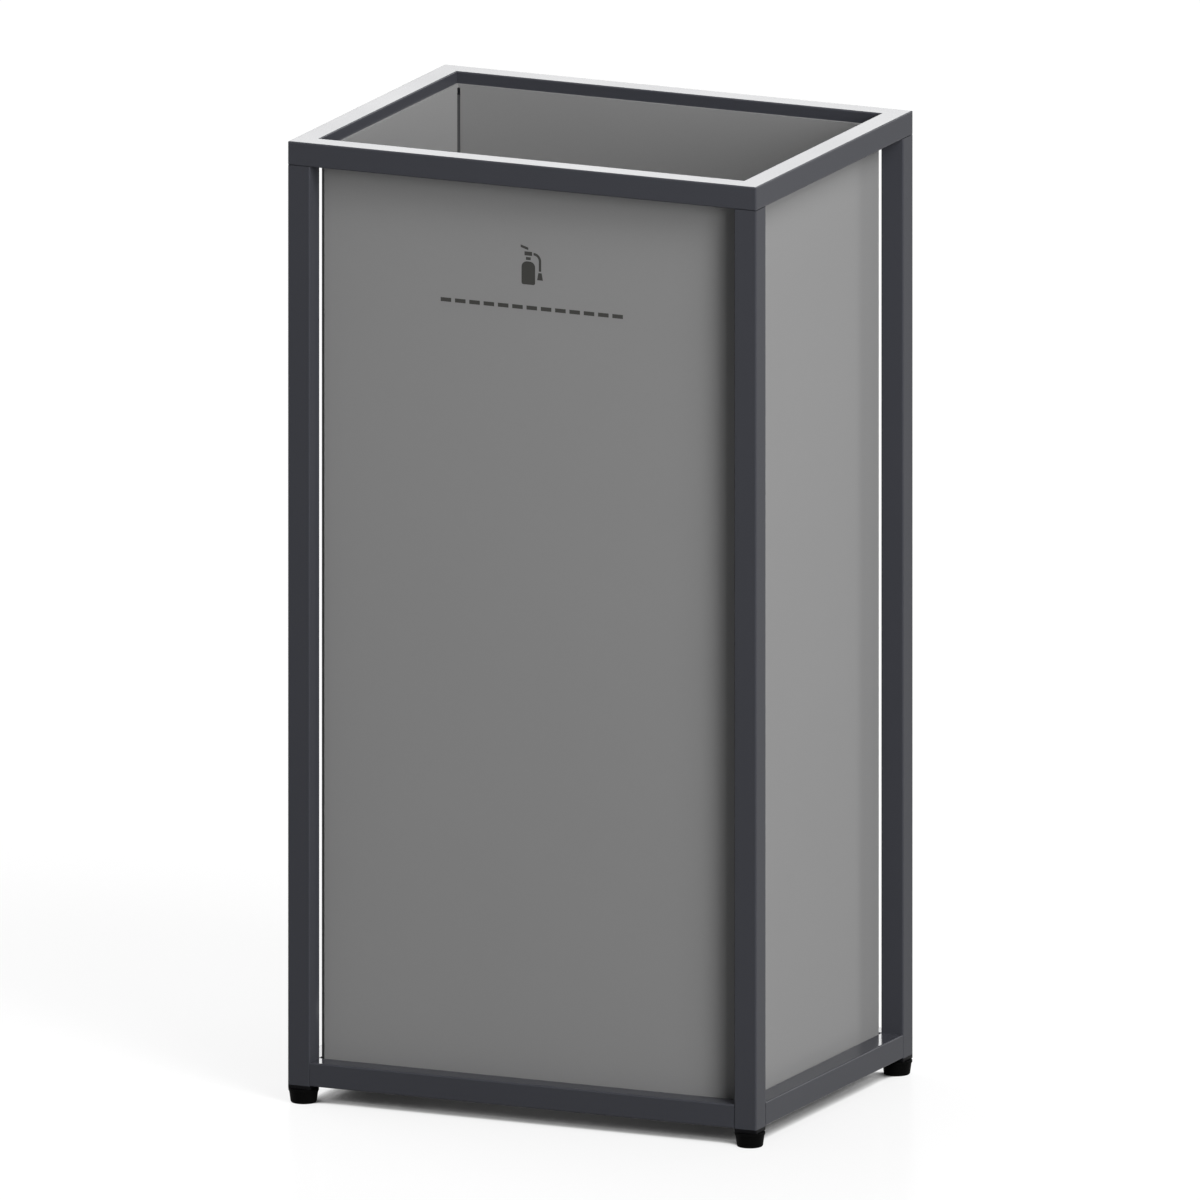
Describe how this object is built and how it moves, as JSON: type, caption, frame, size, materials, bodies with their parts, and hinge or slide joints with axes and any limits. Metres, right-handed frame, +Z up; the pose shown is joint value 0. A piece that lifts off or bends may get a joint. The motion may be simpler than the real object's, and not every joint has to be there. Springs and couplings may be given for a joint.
{
  "type": "fire extinguisher cover",
  "caption": "Freestanding upright sleeve that hides a fire extinguisher: square tube frame with a mitred top ring, sheet steel panels inset on every side and round foot pads.",
  "frame": {"origin": "on the floor, under the middle of the cover", "axes": "+X to the right as seen from the front, +Y to the back, +Z up"},
  "size_m": [0.2784, 0.2084, 0.528],
  "materials": {
    "frame_paint": "satin",
    "panel_paint": "satin",
    "foot_plastic": "matte",
    "foot_rubber": "matte"
  },
  "bodies": {
    "root": {"ring_rail_front": "frame_paint", "ring_rail_back": "frame_paint", "ring_rail_left": "frame_paint", "ring_rail_right": "frame_paint", "post_front_left": "frame_paint", "post_front_right": "frame_paint", "post_back_left": "frame_paint", "post_back_right": "frame_paint", "base_rail_front": "frame_paint", "base_rail_back": "frame_paint", "base_rail_left": "frame_paint", "base_rail_right": "frame_paint", "panel_front": "panel_paint", "panel_back": "panel_paint", "panel_left": "panel_paint", "panel_right": "panel_paint", "foot_insert_front_left": "foot_plastic", "foot_insert_front_right": "foot_plastic", "foot_insert_back_left": "foot_plastic", "foot_insert_back_right": "foot_plastic", "foot_pad_front_left": "foot_rubber", "foot_pad_front_right": "foot_rubber", "foot_pad_back_left": "foot_rubber", "foot_pad_back_right": "foot_rubber"}
  },
  "joints": []
}
